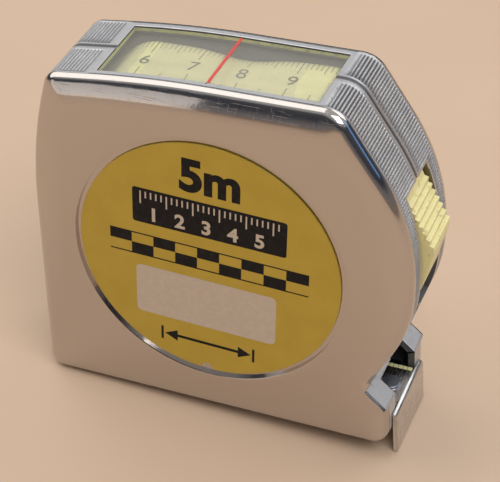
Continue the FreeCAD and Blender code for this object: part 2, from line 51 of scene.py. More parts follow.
class Paint:
    """A procedural material built round one Principled shader, in millimetres of the frame."""

    def __init__(self, name, colour, roughness, metallic=0.0, **sockets):
        self.material = bpy.data.materials.new(name)
        self.material.use_nodes = True
        self.nodes = self.material.node_tree.nodes
        self.links = self.material.node_tree.links
        self.shader = self.nodes["Principled BSDF"]
        self.shader.inputs["Base Color"].default_value = (*colour, 1)
        self.shader.inputs["Roughness"].default_value = roughness
        self.shader.inputs["Metallic"].default_value = metallic
        for socket, value in sockets.items():
            self.shader.inputs[socket.replace("_", " ")].default_value = value
        self.place = self.nodes.new("ShaderNodeTexCoord").outputs["Object"]
        self.colour = colour
        self.height = None

    def noise(self, size, detail=3.0, stretch=(1, 1, 1), turn=(0, 0, 0), low=0.35, high=0.65):
        """Smooth noise from 0 to 1 with features of the given size in millimetres."""
        mapping = self.nodes.new("ShaderNodeMapping")
        mapping.inputs["Scale"].default_value = [1000 / size / way for way in stretch]
        mapping.inputs["Rotation"].default_value = turn
        noise = self.nodes.new("ShaderNodeTexNoise")
        noise.inputs["Scale"].default_value = 1.0
        noise.inputs["Detail"].default_value = detail
        self.links.new(self.place, mapping.inputs["Vector"])
        self.links.new(mapping.outputs["Vector"], noise.inputs["Vector"])
        return self.span(noise.outputs["Fac"], low, high, 0, 1)

    def span(self, value, from_low, from_high, low, high):
        """A value moved from one range to another and kept inside it."""
        node = self.nodes.new("ShaderNodeMapRange")
        self.links.new(value, node.inputs["Value"])
        for socket, number in zip(("From Min", "From Max", "To Min", "To Max"),
                                  (from_low, from_high, low, high)):
            node.inputs[socket].default_value = number
        return node.outputs["Result"]

    def combine(self, first, second, how="MULTIPLY"):
        """Product of two masks, or of a mask and a number; their sum when how is ADD."""
        node = self.nodes.new("ShaderNodeMath")
        node.operation = how
        node.use_clamp = True
        self.links.new(first, node.inputs[0])
        if isinstance(second, (int, float)):
            node.inputs[1].default_value = second
        else:
            self.links.new(second, node.inputs[1])
        return node.outputs[0]

    def tint(self, mask, colour, strength=1.0):
        """Mixes a second colour in where the mask is high."""
        mix = self.nodes.new("ShaderNodeMix")
        mix.data_type = "RGBA"
        socket = self.shader.inputs["Base Color"]
        if socket.is_linked:
            self.links.new(socket.links[0].from_socket, mix.inputs[6])
        else:
            mix.inputs[6].default_value = (*self.colour, 1)
        mix.inputs[7].default_value = (*colour, 1)
        self.links.new(self.combine(mask, strength), mix.inputs["Factor"])
        self.links.new(mix.outputs[2], socket)
        return self

    def rough(self, mask, low, high):
        """Roughness that follows a mask."""
        self.links.new(self.span(mask, 0, 1, low, high), self.shader.inputs["Roughness"])
        return self

    def bump(self, mask, depth):
        """Relief of the given depth in millimetres."""
        bump = self.nodes.new("ShaderNodeBump")
        bump.inputs["Strength"].default_value = 1.0
        bump.inputs["Distance"].default_value = depth * MM
        self.links.new(mask, bump.inputs["Height"])
        if self.height is not None:
            self.links.new(self.height, bump.inputs["Normal"])
        self.height = bump.outputs["Normal"]
        self.links.new(self.height, self.shader.inputs["Normal"])
        return self

    def attribute(self, name):
        """A value stored with the points of a mesh."""
        node = self.nodes.new("ShaderNodeAttribute")
        node.attribute_name = name
        return node.outputs["Fac"]

    def edges(self, low, high):
        """High on sharp convex edges, low in hollows: the mask of painted edge highlights."""
        pointiness = self.nodes.new("ShaderNodeNewGeometry").outputs["Pointiness"]
        return self.span(pointiness, low, high, 0, 1)


def plated(name, colour, low, high, scratch):
    """Bright plating: cloudy gloss, long hair scratches in two directions and small pits."""
    paint = Paint(name, colour, low, metallic=1.0)
    cloud = paint.noise(9.0, 5.0)
    upright = paint.noise(0.16, 2.0, stretch=(40, 40, 1), turn=(0.0, 0.5, 0.2), low=0.66, high=0.76)
    slanted = paint.noise(0.13, 2.0, stretch=(1, 30, 36), turn=(0.3, 1.1, 0.0), low=0.68, high=0.78)
    pits = paint.noise(0.5, 2.0, low=0.74, high=0.80)
    scratches = paint.combine(upright, slanted, "ADD")
    marks = paint.combine(scratches, pits, "ADD")
    paint.tint(pits, (0.30, 0.26, 0.22), 0.5)
    dull = paint.combine(paint.combine(cloud, 0.35), paint.combine(marks, 0.8), "ADD")
    paint.rough(dull, low, high)
    paint.bump(cloud, 0.012)
    return paint.bump(marks, -scratch)


def satin(name, colour, roughness):
    """Dull metal with a fine grain and a few dark specks."""
    paint = Paint(name, colour, roughness, metallic=1.0)
    fine = paint.noise(0.25, 4.0)
    blotch = paint.noise(4.0, 4.0)
    specks = paint.noise(0.6, 2.0, low=0.69, high=0.76)
    paint.tint(blotch, tuple(part * 0.78 for part in colour), 0.6)
    paint.tint(specks, (0.07, 0.055, 0.04), 0.75)
    paint.rough(blotch, roughness, roughness + 0.14)
    return paint.bump(fine, 0.004)


def brushed(name, colour, roughness, stretch, relief=0.006):
    """Rolled steel: streaks along one direction and faint stains."""
    paint = Paint(name, colour, roughness, metallic=1.0)
    streaks = paint.noise(0.12, 3.0, stretch=stretch, low=0.3, high=0.7)
    stains = paint.noise(3.0, 5.0, low=0.5, high=0.72)
    paint.tint(stains, (0.16, 0.13, 0.11), 0.45)
    paint.rough(streaks, roughness, roughness + 0.22)
    return paint.bump(streaks, relief)


def moulded(name, colour, roughness, dirt=(0.05, 0.045, 0.04), dirt_share=0.3):
    """Moulded plastic: fine orange peel, uneven gloss and grime in patches."""
    paint = Paint(name, colour, roughness)
    peel = paint.noise(0.35, 3.0)
    grime = paint.noise(2.2, 5.0, low=0.52, high=0.75)
    paint.tint(grime, dirt, dirt_share)
    paint.rough(grime, roughness, roughness + 0.2)
    return paint.bump(peel, 0.006)


def printed(name, colour, roughness, **sockets):
    """Printing ink with pinholes and a little fading."""
    paint = Paint(name, colour, roughness, **sockets)
    fade = paint.noise(1.2, 5.0, low=0.45, high=0.8)
    paint.tint(fade, tuple(min(1.0, part * 1.15 + 0.02) for part in colour), 0.5)
    return paint.bump(paint.noise(0.2, 2.0), 0.003)


# The chrome is tinted warm brown: a painted reflection of a wooden table.
chrome = plated("chrome_plate", (0.55, 0.51, 0.48), 0.035, 0.26, 0.006)

rim_satin = satin("rim_satin", (0.67, 0.67, 0.68), 0.46)
# The rib hollows are painted dark grey: painted shade in the valleys between the ribs.
rim_satin.tint(rim_satin.attribute("hollow"), (0.10, 0.10, 0.10), 0.75)
# Rib crests and sharp edges are painted lighter: a painted highlight.
rim_satin.tint(rim_satin.edges(0.51, 0.58), (0.80, 0.80, 0.81), 0.4)

inside_grey = moulded("case_inside", (0.10, 0.10, 0.10), 0.55)
screw_steel = brushed("screw_steel", (0.50, 0.50, 0.51), 0.25, (1, 6, 1))
clip_steel = brushed("clip_steel", (0.60, 0.60, 0.61), 0.22, (1, 1, 30))
hook_steel = brushed("hook_steel", (0.50, 0.48, 0.46), 0.16, (1, 30, 1), relief=0.0015)
# Sharp edges of the hook are painted near white: a painted highlight on its bevels.
hook_steel.tint(hook_steel.edges(0.51, 0.6), (0.85, 0.85, 0.86), 0.7)
spring_steel = brushed("spring_steel", (0.30, 0.32, 0.36), 0.28, (1, 30, 1))

label_yellow = Paint("label_yellow", (0.49, 0.33, 0.032), 0.42)
label_yellow.tint(label_yellow.noise(6.0, 4.0), (0.54, 0.37, 0.044), 0.6)
label_specks = label_yellow.noise(0.45, 2.0, low=0.71, high=0.78)
label_yellow.tint(label_specks, (0.16, 0.10, 0.03), 0.6)
label_yellow.rough(label_yellow.noise(2.5, 4.0), 0.32, 0.52)
label_yellow.bump(label_yellow.noise(0.3, 3.0), 0.004)

label_cream = printed("label_cream", (0.56, 0.46, 0.36), 0.5)
ink_black = printed("ink_black", (0.010, 0.009, 0.009), 0.55, Specular_IOR_Level=0.15)
ink_scale = printed("ink_scale", (0.17, 0.17, 0.11), 0.5)

blade_yellow = Paint("blade_yellow", (0.76, 0.72, 0.36), 0.38)
handled = blade_yellow.noise(3.0, 5.0, stretch=(4, 1, 4), low=0.45, high=0.75)
blade_specks = blade_yellow.noise(0.5, 3.0, low=0.68, high=0.78)
blade_yellow.tint(handled, (0.50, 0.50, 0.30), 0.45)
blade_yellow.tint(blade_specks, (0.25, 0.24, 0.15), 0.7)
blade_yellow.bump(blade_yellow.noise(0.3, 3.0), 0.004)

WINDING_PITCH = 1.3
coil_yellow = Paint("coil_yellow", (0.62, 0.60, 0.28), 0.4)
windings = coil_yellow.nodes.new("ShaderNodeTexWave")
windings.wave_type = "RINGS"
windings.rings_direction = "Y"
windings.inputs["Scale"].default_value = 1000 / WINDING_PITCH
wound = coil_yellow.nodes.new("ShaderNodeMapping")
wound.inputs["Location"].default_value = (0, 0, -AXLE[1] * MM)
coil_yellow.links.new(coil_yellow.place, wound.inputs["Vector"])
coil_yellow.links.new(wound.outputs["Vector"], windings.inputs["Vector"])
coil_yellow.tint(windings.outputs["Fac"], (0.22, 0.22, 0.12), 0.8)
coil_yellow.bump(windings.outputs["Fac"], 0.05)

button_yellow = moulded("button_yellow", (0.84, 0.76, 0.37), 0.36,
                        dirt=(0.72, 0.60, 0.27), dirt_share=0.4)
thumb_marks = button_yellow.noise(1.5, 2.0, low=0.60, high=0.70)
button_yellow.tint(thumb_marks, (0.40, 0.26, 0.12), 0.4)

drum_plastic = moulded("drum_plastic", (0.06, 0.06, 0.065), 0.42)
dark_plastic = moulded("dark_plastic", (0.008, 0.008, 0.009), 0.16, dirt=(0.05, 0.045, 0.04))
shoe_rubber = moulded("shoe_rubber", (0.03, 0.03, 0.03), 0.75)
hairline_red = printed("hairline_red", (0.66, 0.07, 0.06), 0.4)

lens_clear = Paint("lens_clear", (0.66, 0.64, 0.56), 0.12, Alpha=0.2)
lens_clear.rough(lens_clear.noise(2.0, 5.0), 0.08, 0.26)
# The lens's cut edges are painted yellow-olive: a painted reflection of the yellow blade seen through
# them.
lens_edge = moulded("lens_edge", (0.55, 0.53, 0.16), 0.3,
                    dirt=(0.16, 0.16, 0.07), dirt_share=0.8)


# ---------------------------------------------------------------- outlines

def unit(way):
    """A direction of length one."""
    return way / np.linalg.norm(way)


def corner_path(corners, closed):
    """Points along straight runs and tangent arcs through corners given as (x, z, radius)."""
    points = []
    count = len(corners)
    for index, (x, z, radius) in enumerate(corners):
        here = np.array([x, z])
        if radius < 0.01 or (not closed and index in (0, count - 1)):
            points.append(here)
            continue
        way_in = unit(here - np.array(corners[index - 1][:2]))
        way_out = unit(np.array(corners[(index + 1) % count][:2]) - here)
        turn = math.atan2(way_in[0] * way_out[1] - way_in[1] * way_out[0], way_in @ way_out)
        start = here - way_in * radius * math.tan(abs(turn) / 2)
        side = math.copysign(1, turn)
        arm = -radius * side * np.array([-way_in[1], way_in[0]])
        for angle in np.linspace(0, turn, max(8, int(radius * abs(turn) / 0.2))):
            turned = np.array([arm[0] * math.cos(angle) - arm[1] * math.sin(angle),
                               arm[0] * math.sin(angle) + arm[1] * math.cos(angle)])
            points.append(start - arm + turned)
    return np.array(points)


def even_path(points, closed, step):
    """The same line with evenly spaced points: lengths along it, points and right-hand normals."""
    line = np.vstack([points, points[:1]]) if closed else points
    lengths = np.concatenate([[0], np.cumsum(np.hypot(*np.diff(line, axis=0).T))])
    along = np.linspace(0, lengths[-1], int(lengths[-1] / step) + 1)
    spots = np.column_stack([np.interp(along, lengths, line[:, axis]) for axis in (0, 1)])
    ways = np.gradient(spots, axis=0)
    ways /= np.linalg.norm(ways, axis=1)[:, None]
    return along, spots, np.column_stack([ways[:, 1], -ways[:, 0]])


def circle_points(x, z, radius, count, start=0.0, end=360.0):
    """Points round a circle, anticlockwise; a full turn leaves the last point out."""
    angles = np.radians(np.linspace(start, end, count, endpoint=end - start < 359.9))
    return [(x + radius * math.cos(angle), z + radius * math.sin(angle)) for angle in angles]


def smooth_step(value, low, high):
    """Rises from 0 at low to 1 at high, with a level start and end."""
    share = np.clip((value - low) / (high - low), 0, 1)
    return share * share * (3 - 2 * share)


# ---------------------------------------------------------------- pieces

def make_piece(name, verts, faces, paints, body, picks=None, replaces=(), sharp=32.0):
    """A mesh piece from points in millimetres, riding on a body."""
    mesh = bpy.data.meshes.new(name)
    mesh.from_pydata((np.asarray(verts, float) * MM).tolist(), [], faces)
    for paint in paints:
        mesh.materials.append(paint.material)
    if picks is not None:
        mesh.polygons.foreach_set("material_index", picks)
    mesh.polygons.foreach_set("use_smooth", [True] * len(mesh.polygons))
    mesh.update()
    mesh.set_sharp_from_angle(angle=math.radians(sharp))
    piece = bpy.data.objects.new(name, mesh)
    bpy.context.scene.collection.objects.link(piece)
    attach(piece, body)
    if replaces:
        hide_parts(*replaces)
    return piece


def bevelled(piece, width):
    """Rounds the sharp edges of a piece; the weld joins the corners that the export split."""
    weld = piece.modifiers.new("weld", "WELD")
    weld.merge_threshold = 0.002 * MM
    bevel = piece.modifiers.new("bevel", "BEVEL")
    bevel.width = width * MM
    bevel.segments = 2
    bevel.limit_method = "ANGLE"
    bevel.angle_limit = math.radians(35)
    bevel.use_clamp_overlap = True
    return piece


def finish_node(node, paint, bevel):
    """Gives a CAD node its material and, where it shows, softened edges."""
    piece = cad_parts[node]
    piece.data.materials.clear()
    piece.data.materials.append(paint.material)
    if bevel:
        bevelled(piece, bevel)
    return piece


def lettering(name, text, height, place, paint, body, turn=0.0, surface=None, bold=0.0):
    """Printed figures: upright on the labelled side, or laid on the blade's surface if one is given."""
    curve = bpy.data.curves.new(name, "FONT")
    curve.body = text
    curve.size = height * MM / 0.73
    curve.align_x = "CENTER"
    curve.align_y = "CENTER"
    curve.offset = bold * MM
    draft = bpy.data.objects.new(name + "_draft", curve)
    bpy.context.scene.collection.objects.link(draft)
    bpy.context.view_layer.update()
    mesh = bpy.data.meshes.new_from_object(draft)
    bpy.data.objects.remove(draft)
    corners = np.array([vertex.co for vertex in mesh.vertices]) / MM
    corners -= (corners.min(0) + corners.max(0)) / 2
    angle = math.radians(turn)
    across = corners[:, 0] * math.cos(angle) - corners[:, 1] * math.sin(angle)
    up = corners[:, 0] * math.sin(angle) + corners[:, 1] * math.cos(angle)
    faces = [tuple(polygon.vertices) for polygon in mesh.polygons]
    if surface:
        spots = [(place[0] + a, place[1] + b) for a, b in zip(across, up)]
        verts = [(x, y, surface(x, y)) for x, y in spots]
    else:
        verts = [(place[0] + a, place[1], place[2] + b) for a, b in zip(across, up)]
    bpy.data.meshes.remove(mesh)
    return make_piece(name, verts, faces, [paint], body)


# ---------------------------------------------------------------- case skins

# The case outline at the seam, anticlockwise from the rear foot, as (x, z, corner radius).
CASE_CORNERS = [
    (-38.0, 0.0, 3.4), (37.7, 0.0, 3.4), (37.4, 9.9, 0.0), (33.0, 13.8, 0.0), (41.4, 31.0, 32.0),
    (41.4, 54.4, 45.0), (26.2, 77.2, 6.0), (-12.0, 76.3, 220.0), (-33.2, 73.3, 3.4),
    (-38.0, 56.0, 100.0),
]
WINDOW_REAR, WINDOW_FRONT, WINDOW_HALF = -23.3, 21.5, 8.9
SLOT_LOW, SLOT_HIGH, SLOT_HALF = 27.8, 58.0, 6.4
MOUTH_LOW, MOUTH_HIGH, MOUTH_HALF = 3.6, 12.7, 6.8
RECESS_RADIUS, RECESS_DEPTH = 28.6, 0.8
SKIN = 1.5
INNER_FACE = HALF_WIDTH - SKIN - 0.6
SCREW_PLACES = ((-28.8, 11.2), (-23.5, 64.2), (20.5, 66.0))
SEAT_INNER, SEAT_OPENING, SEAT_OUTER = 2.38, 2.9, 4.2

# Relief of the rim: distances across it from the seam, and depths under the outline.
RIB_PITCH, RIB_DEPTH, RIB_BED, RIB_NARROWING = 0.75, 0.3, 0.06, 2.2
RIB_START_NEAR, RIB_START_FAR, RIB_OUTER, RIB_RAMP = 1.2, 1.45, 9.95, 0.15
SLOT_BORDER = (0.55, 0.7)
LIP_WIDTH, LIP_DEPTH = 0.12, 0.07
BEAD_WIDTH, BEAD_DEPTH = 0.2, 0.12
STEP_START, STEP_END, STEP_DEPTH = 0.8, 0.95, 0.35
GROOVE_START, GROOVE_END, GROOVE_RAMP = 10.05, 10.3, 0.05
GROOVE_DEPTH, GROOVE_OVERRUN = 0.4, 1.1

# The side face bulges by the crown and ends in a rounding; both change along the edge.
CROWN_TOP, CROWN_FRONT, CROWN_BASE, CROWN_REACH = 2.0, 0.9, 0.25, 6.0
EDGE_TOP, EDGE_FRONT, EDGE_BASE, EDGE_NOSE = 0.9, 2.0, 2.4, 0.45
SATIN_MARGIN = 0.15

fine_along, fine_spots, fine_normals = even_path(corner_path(CASE_CORNERS, True), True, 0.05)
outline_tree = KDTree(len(fine_spots))
for spot_index, (spot_x, spot_z) in enumerate(fine_spots):
    outline_tree.insert((spot_x, spot_z, 0), spot_index)
outline_tree.balance()


def along_at(x, z, axis):
    """Length along the case outline where it passes one coordinate; the other is only near it."""
    near = np.abs(fine_spots - (x, z)).max(axis=1) < 6.0
    gap = np.where(near, np.abs(fine_spots[:, axis] - (x, z)[axis]), 99.0)
    return fine_along[int(np.argmin(gap))]


MOUTH_SPAN = (along_at(37.6, MOUTH_LOW, 1), along_at(34.3, MOUTH_HIGH, 1))
SLOT_SPAN = (along_at(40.0, SLOT_LOW, 1), along_at(39.0, SLOT_HIGH, 1))
WINDOW_SPAN = (along_at(WINDOW_FRONT, 77.0, 0), along_at(WINDOW_REAR, 74.7, 0))
NOSE_SPAN = (along_at(37.6, 9.9, 1), along_at(33.0, 13.8, 0))
FRONT_RIBS = (along_at(34.6, 16.8, 1), along_at(23.4, 77.0, 0))
REAR_RIBS = (along_at(-25.4, 74.4, 0), along_at(-38.0, 6.0, 1))
MOUTH, SLOT, WINDOW = (*MOUTH_SPAN, MOUTH_HALF), (*SLOT_SPAN, SLOT_HALF), (*WINDOW_SPAN, WINDOW_HALF)
HOLES = (MOUTH, SLOT, WINDOW)


def skin_columns():
    """Lengths along the outline: six to a rib, wider on plain runs, and one at each hole's end."""
    marks = [0.0, fine_along[-1]]
    for low, high, _ in HOLES:
        marks += [low - LIP_WIDTH, low, high, high + LIP_WIDTH]
    marks += [*FRONT_RIBS, *REAR_RIBS, *NOSE_SPAN, NOSE_SPAN[0] - 0.4, NOSE_SPAN[1] + 0.4]
    spots = [np.arange(low, high, RIB_PITCH / 6) for low, high in (FRONT_RIBS, REAR_RIBS)]
    plain = np.arange(0, fine_along[-1], 0.5)
    in_ribs = np.zeros(len(plain), bool)
    for low, high in (FRONT_RIBS, REAR_RIBS):
        in_ribs |= (plain > low) & (plain < high)
    marks = sorted(marks)
    found = np.sort(np.concatenate([*spots, plain[~in_ribs]]))
    clear = np.array([min(abs(spot - mark) for mark in marks) > 0.03 for spot in found])
    return np.sort(np.concatenate([found[clear], marks]))[:-1]


def gap_to(hole, along, across):
    """Distance from places on the rim to an opening."""
    low, high, half = hole
    beside = np.maximum(np.maximum(low - along, along - high), 0)
    return np.hypot(beside, np.maximum(across - half, 0))


def rim_relief(along, across, near_side):
    """Height of the rim under the outline: opening lips, ribs, the seam and the window groove."""
    clear = np.minimum.reduce([gap_to(hole, along, across) for hole in HOLES])
    height = -LIP_DEPTH * np.clip(1 - clear / LIP_WIDTH, 0, 1)
    start = RIB_START_NEAR if near_side else RIB_START_FAR
    rows = smooth_step(across, start, start + RIB_RAMP)
    rows = rows * (1 - smooth_step(across, RIB_OUTER - RIB_RAMP, RIB_OUTER))
    rows = rows * smooth_step(gap_to(SLOT, along, across), *SLOT_BORDER)
    for low, high in (FRONT_RIBS, REAR_RIBS):
        inside = (along >= low) & (along <= high)
        wave = (0.5 - 0.5 * np.cos(2 * math.pi * (along - low) / RIB_PITCH)) ** RIB_NARROWING
        height = height - np.where(inside, rows * (RIB_BED + RIB_DEPTH * wave), 0)
    if near_side:
        seam = np.clip(1 - across / BEAD_WIDTH, 0, 1) * BEAD_DEPTH
    else:
        seam = STEP_DEPTH * (1 - smooth_step(across, STEP_START, STEP_END))
    by_window = (along > WINDOW_SPAN[0] - GROOVE_OVERRUN) & (along < WINDOW_SPAN[1] + GROOVE_OVERRUN)
    groove = smooth_step(across, GROOVE_START, GROOVE_START + GROOVE_RAMP) * GROOVE_DEPTH
    groove = groove * (1 - smooth_step(across, GROOVE_END - GROOVE_RAMP, GROOVE_END))
    return height - seam - np.where(by_window, groove, 0)


# Rows across the rim: close together where its relief changes, with one on each opening's edge.
RIM_ROWS = sorted([
    0.0, 0.1, 0.25, STEP_START, STEP_END, 1.1, RIB_START_NEAR, 1.28, 1.36, 1.48, 1.6, 3.5, 6.3,
    SLOT_HALF, MOUTH_HALF - 0.2, MOUTH_HALF, 6.92, 7.0, 7.12, 8.8, WINDOW_HALF, 9.02, 9.1, 9.8,
    9.87, RIB_OUTER, GROOVE_START, 10.1, 10.25, GROOVE_END,
])
# Rings of the side face: distances in from the outline, then shares of the way to the recess.
NEAR_RINGS = [0.03, 0.08, 0.16, 0.28, 0.42, 0.6, 0.8, 1.1, 1.6, 2.3]
FAR_RINGS = [0.08, 0.17, 0.27, 0.38, 0.5, 0.62, 0.72, 0.8, 0.87, 0.94, 1.0]
RECESS_LIP = 0.12
RECESS_ROWS = [(0.0, 0.08), (0.0, RECESS_DEPTH), (-9.0, RECESS_DEPTH)]
SATIN_PAINT, CHROME_PAINT, INSIDE_PAINT = 0, 1, 2


def edge_shape(along, x, z):
    """Crown of the side face and radius of its rounding: broad at the top, tight at the nose."""
    high = smooth_step(z, 12.0, 50.0)
    ahead = smooth_step(x, 22.0, 32.0)
    crown = CROWN_BASE + (CROWN_TOP + (CROWN_FRONT - CROWN_TOP) * ahead - CROWN_BASE) * high
    radius = EDGE_BASE + (EDGE_TOP + (EDGE_FRONT - EDGE_TOP) * ahead - EDGE_BASE) * high
    on_nose = smooth_step(along, NOSE_SPAN[0] - 0.4, NOSE_SPAN[0])
    on_nose = on_nose * (1 - smooth_step(along, NOSE_SPAN[1], NOSE_SPAN[1] + 2.0))
    return crown, radius + (EDGE_NOSE - radius) * on_nose


def side_drop(x, z):
    """How far the side face lies inside the half width at a point, and how steep it is, 0 to 1."""
    _, nearest, gap = outline_tree.find((x, z, 0))
    crown, radius = edge_shape(fine_along[nearest], *fine_spots[nearest])
    sink = crown * (1 - min(gap, CROWN_REACH) / CROWN_REACH) ** 1.5
    left = max(radius - gap, 0.0)
    return float(sink + radius - math.sqrt(radius ** 2 - left ** 2)), float(left / radius)


def skin_layers(side, along):
    """Outer and inner points of one half, row by row from the seam to under the label."""
    spots = np.column_stack([np.interp(along, fine_along, fine_spots[:, axis]) for axis in (0, 1)])
    normals = np.column_stack([np.interp(along, fine_along, fine_normals[:, axis]) for axis in (0, 1)])
    outer, inner, hollow = [], [], []

    def add_row(at, across, under, under_across, sunk=0.0):
        """Adds a row of outer points and of the points under them, as XZ places and widths."""
        count = len(at)
        outer.append(np.column_stack([at[:, 0], np.broadcast_to(side * across, count), at[:, 1]]))
        under_y = np.broadcast_to(side * under_across, count)
        inner.append(np.column_stack([under[:, 0], under_y, under[:, 1]]))
        hollow.append(np.broadcast_to(sunk, count))

    crowns, radii = edge_shape(along, *spots.T)
    rim_end = HALF_WIDTH - crowns - radii
    rim = [np.full(len(along), row) for row in RIM_ROWS]
    rim += [np.maximum(rim_end - SATIN_MARGIN, (RIM_ROWS[-1] + rim_end) / 2), rim_end]
    for across in rim:
        height = rim_relief(along, across, side < 0)
        add_row(spots + normals * height[:, None], across,
                spots - normals * SKIN, np.minimum(across, INNER_FACE),
                np.clip(-height / RIB_DEPTH, 0, 1))

    arms = np.array(AXLE) - spots
    reach = np.linalg.norm(arms, axis=1)
    ways = arms / reach[:, None]
    lip = reach - RECESS_RADIUS - RECESS_LIP
    rings = [np.full(len(along), ring) for ring in NEAR_RINGS]
    rings += [NEAR_RINGS[-1] + (lip - NEAR_RINGS[-1]) * share for share in FAR_RINGS]
    for ring in rings:
        at = spots + ways * ring[:, None]
        sink, steep = np.array([side_drop(x, z) for x, z in at]).T
        inset = 0.6 * (1 - np.sqrt(1 - steep ** 2))
        under = at - normals * (steep * SKIN)[:, None] + ways * inset[:, None]
        add_row(at, HALF_WIDTH - sink, under, INNER_FACE)
    for inward, deep in RECESS_ROWS:
        add_row(np.array(AXLE) - ways * (RECESS_RADIUS + inward), HALF_WIDTH - deep,
                np.array(AXLE) - ways * (RECESS_RADIUS + min(inward, -0.6)), INNER_FACE)
    return outer, inner, hollow, len(rim)


def skin_cells(side, outer, rim_count, middle):
    """Which cells of the grid are there: the openings and the screw seats are left out."""
    present = np.ones((len(outer) - 1, len(middle)), bool)
    for row, ends in enumerate(zip(RIM_ROWS, RIM_ROWS[1:])):
        for low, high, half in HOLES:
            if sum(ends) / 2 < half:
                present[row] &= ~((middle > low) & (middle < high))
    if side > 0:
        for row in range(rim_count, len(outer) - 1):
            pair = outer[row] + outer[row + 1]
            cell = (pair + np.roll(pair, -1, axis=0)) / 4
            for x, z in SCREW_PLACES:
                present[row] &= np.hypot(cell[:, 0] - x, cell[:, 2] - z) > SEAT_OPENING
    return present


def skin_faces(side, present, rim_count, middle):
    """Faces of both layers and of the walls that join them round every opening, with their paints."""
    row_count, column_count = present.shape
    by_button = (middle > SLOT_SPAN[0] + 18) & (middle < SLOT_SPAN[1] + 1)
    faces, picks = [], []

    def corner(row, column, layer=0):
        """Index of a grid point; layer 0 is the outer face of the skin and 1 the inner."""
        return (layer * (row_count + 1) + row) * column_count + column % column_count

    def turned(quad):
        """A face wound so that its normal points out of the skin on either side."""
        return quad if side < 0 else quad[::-1]

    for row in range(row_count):
        on_rim = row < rim_count - 2
        for column in range(column_count):
            if not present[row, column]:
                continue
            ring = [(row, column), (row, column + 1), (row + 1, column + 1), (row + 1, column)]
            faces.append(turned([corner(*spot) for spot in ring]))
            picks.append(SATIN_PAINT if on_rim else CHROME_PAINT)
            faces.append(turned([corner(*spot, 1) for spot in ring[::-1]]))
            picks.append(INSIDE_PAINT)
            neighbours = [(row - 1, column), (row, (column + 1) % column_count),
                          (row + 1, column), (row, column - 1)]
            for edge, (next_row, next_column) in enumerate(neighbours):
                if 0 <= next_row < row_count and present[next_row, next_column]:
                    continue
                start, end = ring[edge], ring[(edge + 1) % 4]
                faces.append(turned([corner(*end), corner(*start), corner(*start, 1), corner(*end, 1)]))
                # Walls round the rim's openings take the dark inside paint: painted shade for the dark gap
                # round each opening.
                picks.append(INSIDE_PAINT if on_rim and not by_button[column] else CHROME_PAINT)
    return faces, picks


def case_skin(name, side, replaced):
    """One half of the case as a closed skin: ribbed rim, rounded edge, side face and recess."""
    along = skin_columns()
    middle = (along + np.append(along[1:], fine_along[-1])) / 2
    outer, inner, hollow, rim_count = skin_layers(side, along)
    present = skin_cells(side, outer, rim_count, middle)
    faces, picks = skin_faces(side, present, rim_count, middle)
    piece = make_piece(name, np.vstack(outer + inner), faces, [rim_satin, chrome, inside_grey],
                       "case", picks=picks, replaces=[replaced], sharp=50.0)
    # The hollow depth of each rim point drives the painted shade in the rib valleys.
    values = np.concatenate(hollow + [np.zeros(len(inner) * len(along))]).astype(np.float32)
    piece.data.attributes.new("hollow", "FLOAT", "POINT").data.foreach_set("value", values)


def screw_seats():
    """Flat rings of the rear side face, one round each sunk screw head."""
    count = 40
    section = ((SEAT_INNER, 1.2), (SEAT_INNER, 0.1), (SEAT_INNER + 0.1, 0.0), (SEAT_OUTER, 0.0))
    verts, faces = [], []
    for x, z in SCREW_PLACES:
        base = len(verts)
        for radius, sink in section:
            level = HALF_WIDTH + 0.01 - sink
            verts += [(px, level, pz) for px, pz in circle_points(x, z, radius, count)]
        for low in range(base, base + (len(section) - 1) * count, count):
            faces += [(low + k, low + (k + 1) % count, low + count + (k + 1) % count, low + count + k)
                      for k in range(count)]
    make_piece("screw_seats", verts, faces, [chrome], "case")


case_skin("case_front_skin", -1, "case_front_shell")
case_skin("case_rear_skin", 1, "case_rear_shell")
screw_seats()


# ---------------------------------------------------------------- labels

LABEL_RADIUS = 27.56
LABEL_FACE = HALF_WIDTH - 0.3
LABEL_BACK = HALF_WIDTH - RECESS_DEPTH
LABEL_TURN = -2.2
# The print stands proud of the label so it shows; print on print stands twice as proud.
PRINT_LIFT = 0.015
# Sizes on the front label, across and up from its centre along the print lines.
BAR_LEFT, BAR_RIGHT, BAR_LOW, BAR_HIGH = -16.0, 16.2, 6.0, 14.3
BAR_SCALE_START, BAR_SCALE_LENGTH, BAR_TICKS = -14.3, 28.8, 26
BAR_TICK_TOP, BAR_TICK_HALF, BAR_TICK_LONG, BAR_TICK_SHORT = 13.6, 0.16, 3.0, 1.6
BAND_HALF, BAND_BLOCKS, BAND_LINE = 21.0, 9, 0.3
BAND_LOW, BAND_MIDDLE, BAND_HIGH = -1.9, 0.6, 2.9


def label_disc(name, outline, side, replaced):
    """A label in the recess of one side: a flat disc of an XZ outline, its edges softened."""
    count = len(outline)
    verts = [(x, side * y, z) for y in (LABEL_FACE, LABEL_BACK) for x, z in outline]
    faces = [tuple(range(count)), tuple(range(2 * count - 1, count - 1, -1))]
    faces += [(index, index + count, (index + 1) % count + count, (index + 1) % count)
              for index in range(count)]
    piece = make_piece(name, verts, faces, [label_yellow], "case", replaces=[replaced])
    fresh = bmesh.new()
    fresh.from_mesh(piece.data)
    bmesh.ops.recalc_face_normals(fresh, faces=fresh.faces)
    fresh.to_mesh(piece.data)
    fresh.free()
    return bevelled(piece, 0.1)


